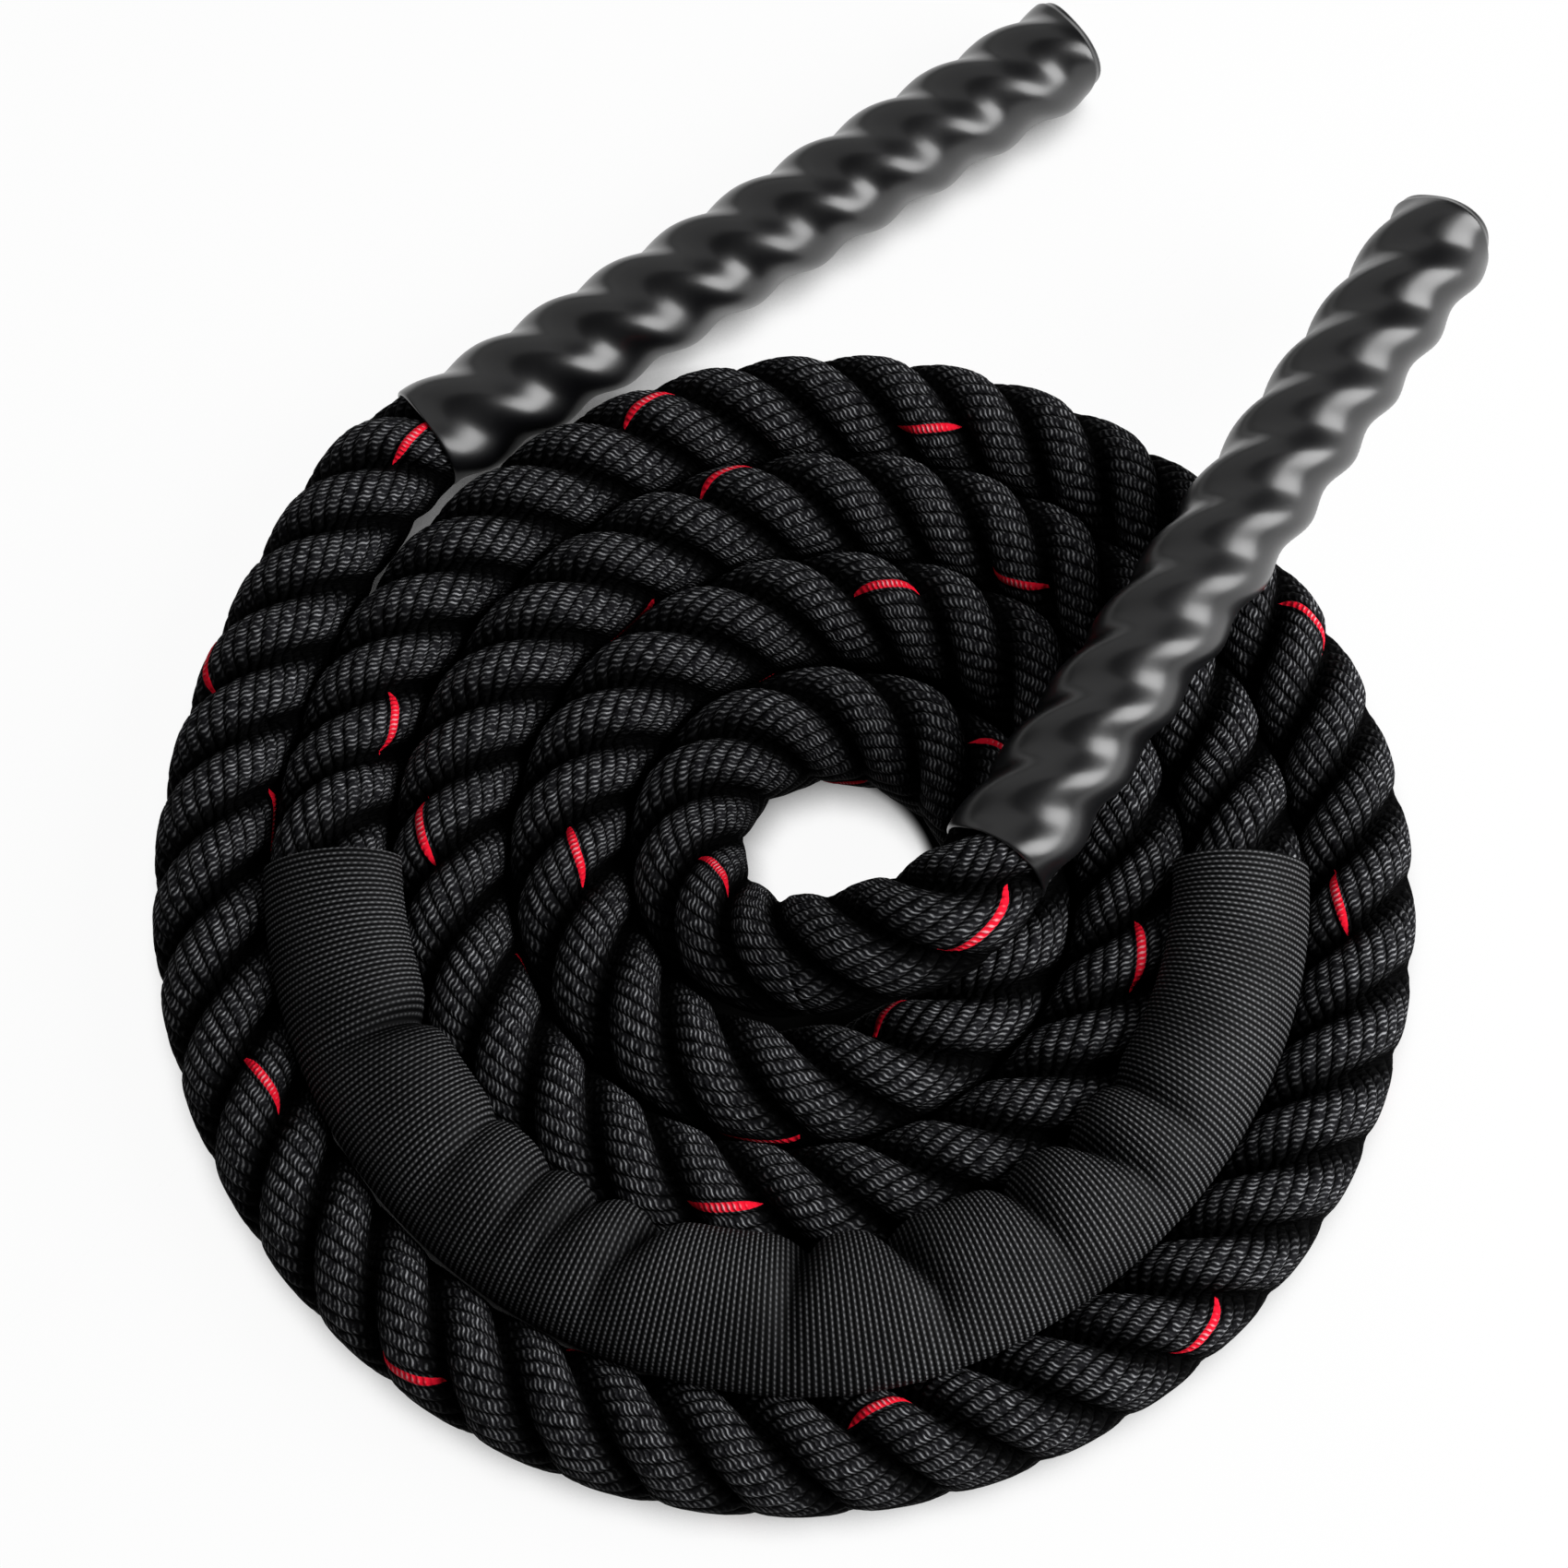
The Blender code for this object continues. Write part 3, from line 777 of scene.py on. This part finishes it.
class ROPE_PG_stage(bpy.types.PropertyGroup):
    floor_reach: length("Floor Reach", "Half the width of the floor", 4.0)
    floor_colour: colour("Floor", "Colour of the floor", WHITE)
    # Painted shade on the floor: its colour in gaps and under the turns, how light it stays beside a thing, and
    # its reach
    gap_shade_colour: colour("Floor in Gaps", "Colour of the floor deep between two turns", (0.01, 0.01, 0.01))
    contact_shade: share("Contact Shade", "How light the floor stays beside a thing", 0.3)
    floor_glow: share("Floor Glow", "How much of the floor's white doesn't depend on the lamps", 0.95)
    gap_reach: length("Gap Reach", "How near a thing darkens the floor beside it", 14.0 * MM)
    world_strength: number("World", "Strength of the even light all round", 0.04)
    key_power: power("Key", "Power of the soft lamp on the right", 17.5)
    key_size: length("Key Size", "Width of the soft lamp on the right", 0.85)
    fill_power: power("Fill", "Power of the lamp behind the coil", 3.5)
    fill_size: length("Fill Size", "Width of the lamp behind the coil", 1.6)


# Operators

STRETCH_OVERLAP = 6.0 * MM       # how far a free stretch reaches into its grip
MOUTH_TAPER = 14.0 * MM          # over which the rope narrows towards a grip
TAPE_TAPER = 2.0 * MM            # and the strands towards their tape


class ROPE_OT_rope(bpy.types.Operator):
    """Build the wound rope, its two free stretches and its ends in the grips"""
    bl_idname = "jump_rope.rope"
    bl_label = "Laid Rope"

    def execute(self, context):
        settings = context.scene.jump_rope
        yarn = yarn_finish(settings)
        inner_crest = GRIP_CREST_RADIUS - GRIP_WALL - FIT_GAP
        core_length = GRIP_LENGTH - GRIP_LIP_LENGTH - FIT_GAP

        def rope_crest(distance):
            """Full size on the coil, narrowing into the grips and again under the tape."""
            from_mouth = min(distance, ROUTE.length - distance)
            crest = inner_crest + (ROPE_RADIUS - inner_crest) * smooth(from_mouth / MOUTH_TAPER)
            taped = smooth((-from_mouth - core_length + TAPE_LENGTH + TAPE_TAPER) / TAPE_TAPER)
            return crest - taped * 2.0 * TAPE_THICKNESS

        wound = laid_rope("wound_rope", ROUTE.coil_start, ROUTE.coil_end, rope_crest, settings, yarn)
        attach(wound, "coil")
        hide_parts("rope_coil")

        for letter, mouth, root in (("a", 0.0, ROUTE.coil_start), ("b", ROUTE.length, ROUTE.coil_end)):
            outward = -1.0 if letter == "a" else 1.0
            start, end = sorted((mouth + outward * STRETCH_OVERLAP, root))
            stretch = laid_rope("stretch_to_grip_" + letter, start, end, rope_crest, settings, yarn)
            ROUTE.centre(root)
            ROUTE.centre(mouth)
            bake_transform(stretch)
            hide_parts("free_stretch_" + letter)

            start, end = sorted((mouth + outward * STRETCH_OVERLAP, mouth + outward * core_length))
            core = laid_rope("strands_in_grip_" + letter, start, end, rope_crest, settings, yarn)
            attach(core, "grip_" + letter)
            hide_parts("rope_end_" + letter)

        rows = round((ROUTE.coil_end - ROUTE.coil_start) / settings.ring_spacing)
        step = (ROUTE.coil_end - ROUTE.coil_start) / rows
        path = [ROUTE.centre(ROUTE.coil_start + index * step) for index in range(rows + 1)]
        tuple(path[0])
        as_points(path)
        return {"FINISHED"}


LOOSE_SIDE = (math.radians(-47.0), math.radians(58.0))  # middle and width, from up towards the right
BULGE_SIDE = (math.radians(62.0), math.radians(34.0))
FOLD_POWER = 1.2                 # 1 is a sharp line, 2 a round trough
SLEEVE_FOLDS = (                 # angle round the coil, share of the full depth, slant over the sleeve's top
    (204.0, 1.0, 0.0), (221.0, 0.5, 4.0), (232.0, 0.6, 0.0), (241.0, 0.8, -8.0), (251.0, 1.0, -12.0),
    (271.0, 0.9, -8.0), (279.0, 1.0, 12.0), (298.0, 0.8, 5.0), (309.0, 1.0, 9.0), (322.0, 0.6, 0.0))


def hump(value, middle, width):
    return math.exp(-((value - middle) / width) ** 2)


class ROPE_OT_sleeve(bpy.types.Operator):
    """Build the loose woven sleeve over the rope's middle"""
    bl_idname = "jump_rope.sleeve"
    bl_label = "Woven Sleeve"

    def execute(self, context):
        settings = context.scene.jump_rope_sleeve
        start, end = [ROUTE.distance_at(point) for point in SLEEVE_POINTS]
        start += SLEEVE_END_INSET
        end -= SLEEVE_END_INSET
        columns = settings.columns
        rows = round((end - start) / settings.ring_spacing)
        stations = [Station(start + (end - start) * row / rows) for row in range(rows + 1)]

        def place(row, column):
            station = stations[row]
            around = FULL_TURN * (column / columns - 0.5)
            radius = self.radius(station.distance, around, settings)
            give = settings.press + settings.shoulder * smooth(radius * math.cos(around) / SLEEVE_RADIUS)
            return station.place(around, radius, give)

        shape, row_layer, column_layer = swept(rows + 1, columns, place)
        weave_map = shape.loops.layers.uv.new("weave")
        crease_layer = shape.loops.layers.float.new("crease")
        shadow_layer = shape.loops.layers.float.new("shadow")
        girth = FULL_TURN * SLEEVE_RADIUS / MM
        for corners in face_cells(shape, row_layer, column_layer):
            for loop, row, column in corners:
                around = FULL_TURN * (column / columns - 0.5)
                distance = stations[row].distance
                loop[weave_map].uv = (girth * column / columns, distance / MM)
                loop[crease_layer] = self.loose(around) * self.valley(distance, around, settings)
                loop[shadow_layer] = stations[row].covered(around)
        merge_seam(shape)
        sleeve = finish_mesh(shape, "woven_sleeve_cloth", sleeve_finish(settings))
        wall = sleeve.modifiers.new("cloth", "SOLIDIFY")
        wall.thickness = settings.wall
        wall.offset = -1.0
        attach(sleeve, "coil")
        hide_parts("wear_sleeve")
        return {"FINISHED"}

    def coil_angle(self, distance):
        return FIRST_ANGLE + (ROUTE.coil_place(distance) / TURN_POINT_COUNT - 1.0) * FULL_TURN

    def loose(self, around):
        """1 on the inner shoulder, where the cloth hangs loose, 0 away from it."""
        return hump(around, *LOOSE_SIDE)

    def valley(self, distance, around, settings):
        """1 at the bottom of a fold, 0 away from the folds."""
        inward = max(0.0, -around / (math.pi / 2.0))
        middle_radius = coil_radius(ROUTE.coil_place(distance) / TURN_POINT_COUNT)
        valley = 0.0
        for fold_angle, size, slant in SLEEVE_FOLDS:
            middle = math.radians(fold_angle) + math.radians(slant) * (1.0 - inward) * 0.5
            away = abs(self.coil_angle(distance) - middle) * middle_radius
            valley += size * math.exp(-(away / settings.fold_width) ** FOLD_POWER)
        return min(valley, 1.0)

    def radius(self, distance, around, settings):
        """The cloth's reach: drawn in at its folds, loose between them, and bulging over the outer turn."""
        valley = self.valley(distance, around, settings)
        loose = self.loose(around) * (settings.looseness * (1.0 - valley) - settings.tightness * valley)
        bulge = hump(self.coil_angle(distance), settings.bulge_angle, settings.bulge_spread)
        bulge *= hump(around, *BULGE_SIDE)
        return SLEEVE_RADIUS + loose + settings.bulge * bulge


# The rounded edges of a grip's wall, each as a depth and an inset, in wall thicknesses
MOUTH_OUTSIDE = ((0.0, 0.35), (0.25, 0.08), (0.6, 0.0))
MOUTH_INSIDE = ((0.3, 1.0), (0.0, 0.65), (0.0, 0.35))
RIM = ((0.0, 0.3), (0.0, 0.7), (-0.4, 1.0))
LIP_STEPS = 6
TAPE_STEPS = 14


class ROPE_OT_grips(bpy.types.Operator):
    """Build the two grips of shrunk tube and the tape inside their far ends"""
    bl_idname = "jump_rope.grips"
    bl_label = "Grips"

    def execute(self, context):
        settings = context.scene.jump_rope_grips
        tube_material = grip_finish(settings)
        tape_material = tape_finish(settings)
        for letter in "ab":
            self.tube(letter, settings, tube_material)
            self.tape(letter, settings, tape_material)
        return {"FINISHED"}

    def lobed(self, letter, name, profile, settings, material):
        """A closed wall from rings, each with its depth behind the mouth, its inset and its size."""
        columns = settings.columns
        middle = GRIP_CREST_RADIUS - GRIP_GROOVE_DEPTH / 2.0

        def place(row, column):
            depth, inset, size = profile[row]
            distance = -depth if letter == "a" else ROUTE.length + depth
            turned = FULL_TURN * column / columns
            radius = (middle + GRIP_GROOVE_DEPTH / 2.0 * math.cos(STRANDS * turned)) * size - inset
            angle_here = ROUTE.lay_angle(distance) + turned
            centre, _, up, right = ROUTE.stance(distance)
            return centre + up * (radius * math.cos(angle_here)) + right * (radius * math.sin(angle_here))

        shape, row_layer, column_layer = swept(len(profile), columns, place)
        weave_map = shape.loops.layers.uv.new("weave")
        girth = FULL_TURN * GRIP_CREST_RADIUS / MM
        for corners in face_cells(shape, row_layer, column_layer):
            for loop, row, column in corners:
                depth, _, _ = profile[row]
                loop[weave_map].uv = (girth * column / columns, depth / MM)
        merge_seam(shape)
        piece = finish_mesh(shape, name, material)
        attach(piece, "grip_" + letter)
        return piece

    def tube(self, letter, settings, material):
        wall = GRIP_WALL
        body_end = GRIP_LENGTH - GRIP_LIP_LENGTH
        outer_steps = round(body_end / settings.ring_spacing)
        inner_steps = outer_steps // 2
        rim = [(GRIP_LENGTH + back * wall, inset * wall, GRIP_LIP_SHARE) for back, inset in RIM]
        lip_run = rim[-1][0] - body_end
        lip = []
        for step in range(LIP_STEPS + 1):
            size = 1.0 + (GRIP_LIP_SHARE - 1.0) * smooth(step / LIP_STEPS)
            lip.append((body_end + lip_run * step / LIP_STEPS, 0.0, size))
        outside = [(depth * wall, inset * wall, 1.0) for depth, inset in MOUTH_OUTSIDE]
        outside += [(body_end * step / outer_steps, 0.0, 1.0) for step in range(1, outer_steps)]
        inside = [(depth, wall, size) for depth, _, size in lip[-2::-1]]
        inside += [(body_end * step / inner_steps, wall, 1.0) for step in range(inner_steps - 1, 0, -1)]
        inside += [(depth * wall, inset * wall, 1.0) for depth, inset in MOUTH_INSIDE]
        profile = outside + lip + rim + inside
        piece = self.lobed(letter, "grip_tube_" + letter, profile, settings, material)
        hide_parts("grip_" + letter)

    def tape(self, letter, settings, material):
        outer = GRIP_WALL + FIT_GAP
        end = GRIP_LENGTH - GRIP_LIP_LENGTH - FIT_GAP
        start = end - TAPE_LENGTH
        outside = [(start + TAPE_LENGTH * step / TAPE_STEPS, outer, 1.0) for step in range(TAPE_STEPS + 1)]
        inside = [(depth, outer + TAPE_THICKNESS, 1.0) for depth, _, _ in reversed(outside)]
        profile = outside + inside + outside[:1]
        piece = self.lobed(letter, "tape_ring_" + letter, profile, settings, material)
        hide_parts("end_tape_" + letter)


FLOOR_SAMPLES = 12
# How much of the sky a place on the floor sees: painted shade beside a thing, and painted black shade in a deep
# gap
BESIDE_RANGE = (0.3, 0.8)
GAP_RANGE = (0.1, 0.35)


class ROPE_OT_stage(bpy.types.Operator):
    """Set the floor, the lamps and the photograph's camera"""
    bl_idname = "jump_rope.stage"
    bl_label = "Stage"

    def execute(self, context):
        settings = context.scene.jump_rope_stage
        self.floor(settings)
        self.world(settings)
        self.camera(context)
        self.lamp("key", KEY_PLACE, settings.key_size, settings.key_power)
        self.lamp("fill", FILL_PLACE, settings.fill_size, settings.fill_power)
        context.scene.view_settings.view_transform = "Standard"
        return {"FINISHED"}

    def floor(self, settings):
        shape = bmesh.new()
        bmesh.ops.create_grid(shape, x_segments=1, y_segments=1, size=settings.floor_reach)
        finish = Finish("white_floor", Roughness=0.9, Specular_IOR_Level=0.0)
        rays = [finish.node("ShaderNodeLightPath", {}, {}, output="Is %s Ray" % kind)
                for kind in ("Camera", "Glossy", "Transmission")]
        sky = finish.node("ShaderNodeAmbientOcclusion", {"samples": FLOOR_SAMPLES},
                          {"Distance": settings.gap_reach}, output="AO")
        # Painted shade in the floor's colour and glow: darker beside a thing, black in a deep gap and under the
        # turns
        light = sky.between(*BESIDE_RANGE) * (1.0 - settings.contact_shade) + settings.contact_shade
        light = light * sky.between(*GAP_RANGE) * (1.0 - self.under_turns(finish))
        finish.drive("Base Color", finish.mix(light, settings.gap_shade_colour, settings.floor_colour))
        seen = sum(rays) * light * settings.floor_glow
        glow = finish.node("ShaderNodeEmission", {}, {"Color": opaque(WHITE)})
        output = finish.tree.nodes["Material Output"]
        lit = Signal(finish, finish.shader.outputs[0])
        mixed = finish.node("ShaderNodeMixShader", {}, {0: seen, 1: lit, 2: glow})
        finish.tree.links.new(mixed.socket, output.inputs["Surface"])
        finish_mesh(shape, "floor", finish.material)

    def under_turns(self, finish):
        """1 where the coil's turns lie over the floor, 0 inside and outside the coil."""
        offset = finish.node("ShaderNodeVectorMath", {"operation": "SUBTRACT"},
                             (finish.place(), COIL_CENTRE))
        away = finish.node("ShaderNodeVectorMath", {"operation": "LENGTH"}, (offset,), output="Value")
        across, along = finish.parts(offset)
        turned = ((along.math("ARCTAN2", across) - FIRST_ANGLE) / FULL_TURN).fraction()
        inside = COVERED_EDGE - turned * TURN_PITCH - away
        return away.between(*COVERED_FROM) * inside.between(0.0, COVERED_FADE)

    def world(self, settings):
        world = bpy.data.worlds.new("studio")
        world.use_nodes = True
        background = world.node_tree.nodes["Background"]
        background.inputs["Color"].default_value = opaque(WHITE)
        seen = Tree(world.node_tree).node("ShaderNodeLightPath", {}, {}, output="Is Camera Ray")
        strength = seen * (1.0 - settings.world_strength) + settings.world_strength
        world.node_tree.links.new(strength.socket, background.inputs["Strength"])
        bpy.context.scene.world = world

    def camera(self, context):
        data = bpy.data.cameras.new("photo_camera")
        data.sensor_width = SENSOR_WIDTH
        data.lens = SENSOR_WIDTH * PHOTO_FOCUS_PIXELS / PHOTO_WIDTH
        reach = PHOTO_FOCUS_PIXELS * PHOTO_SCALE
        camera = bpy.data.objects.new("photo_camera", data)
        away = Vector((0.0, -math.cos(CAMERA_ELEVATION), math.sin(CAMERA_ELEVATION)))
        turn = Matrix.Rotation(math.pi / 2.0 - CAMERA_ELEVATION, 4, "X")
        camera.matrix_world = Matrix.Translation(CAMERA_TARGET + away * reach) @ turn
        context.scene.collection.objects.link(camera)
        context.scene.camera = camera

    def lamp(self, name, place, size, energy):
        data = bpy.data.lights.new(name, "AREA")
        data.energy = energy
        data.size = size
        lamp = bpy.data.objects.new(name, data)
        aim = (-place).to_track_quat("-Z", "Y").to_matrix().to_4x4()
        lamp.matrix_world = Matrix.Translation(CAMERA_TARGET + place) @ aim
        bpy.context.scene.collection.objects.link(lamp)


class ROPE_PT_panel(bpy.types.Panel):
    bl_label = "Jump Rope"
    bl_idname = "ROPE_PT_panel"
    bl_space_type = "VIEW_3D"
    bl_region_type = "UI"
    bl_category = "Jump Rope"

    def draw(self, context):
        for operator in OPERATORS:
            self.layout.operator(operator.bl_idname)


GROUPS = {
    "jump_rope": ROPE_PG_rope,
    "jump_rope_sleeve": ROPE_PG_sleeve,
    "jump_rope_grips": ROPE_PG_grips,
    "jump_rope_stage": ROPE_PG_stage,
}
OPERATORS = (ROPE_OT_stage, ROPE_OT_rope, ROPE_OT_sleeve, ROPE_OT_grips)


def register():
    for kind in (*GROUPS.values(), *OPERATORS, ROPE_PT_panel):
        bpy.utils.register_class(kind)
    for name, group in GROUPS.items():
        setattr(bpy.types.Scene, name, bpy.props.PointerProperty(type=group))


def unregister():
    for name in GROUPS:
        delattr(bpy.types.Scene, name)
    for kind in reversed((*GROUPS.values(), *OPERATORS, ROPE_PT_panel)):
        bpy.utils.unregister_class(kind)


def main():
    register()
    bpy.ops.jump_rope.stage()
    bpy.ops.jump_rope.rope()
    bpy.ops.jump_rope.sleeve()
    bpy.ops.jump_rope.grips()


if __name__ == "__main__":
    main()
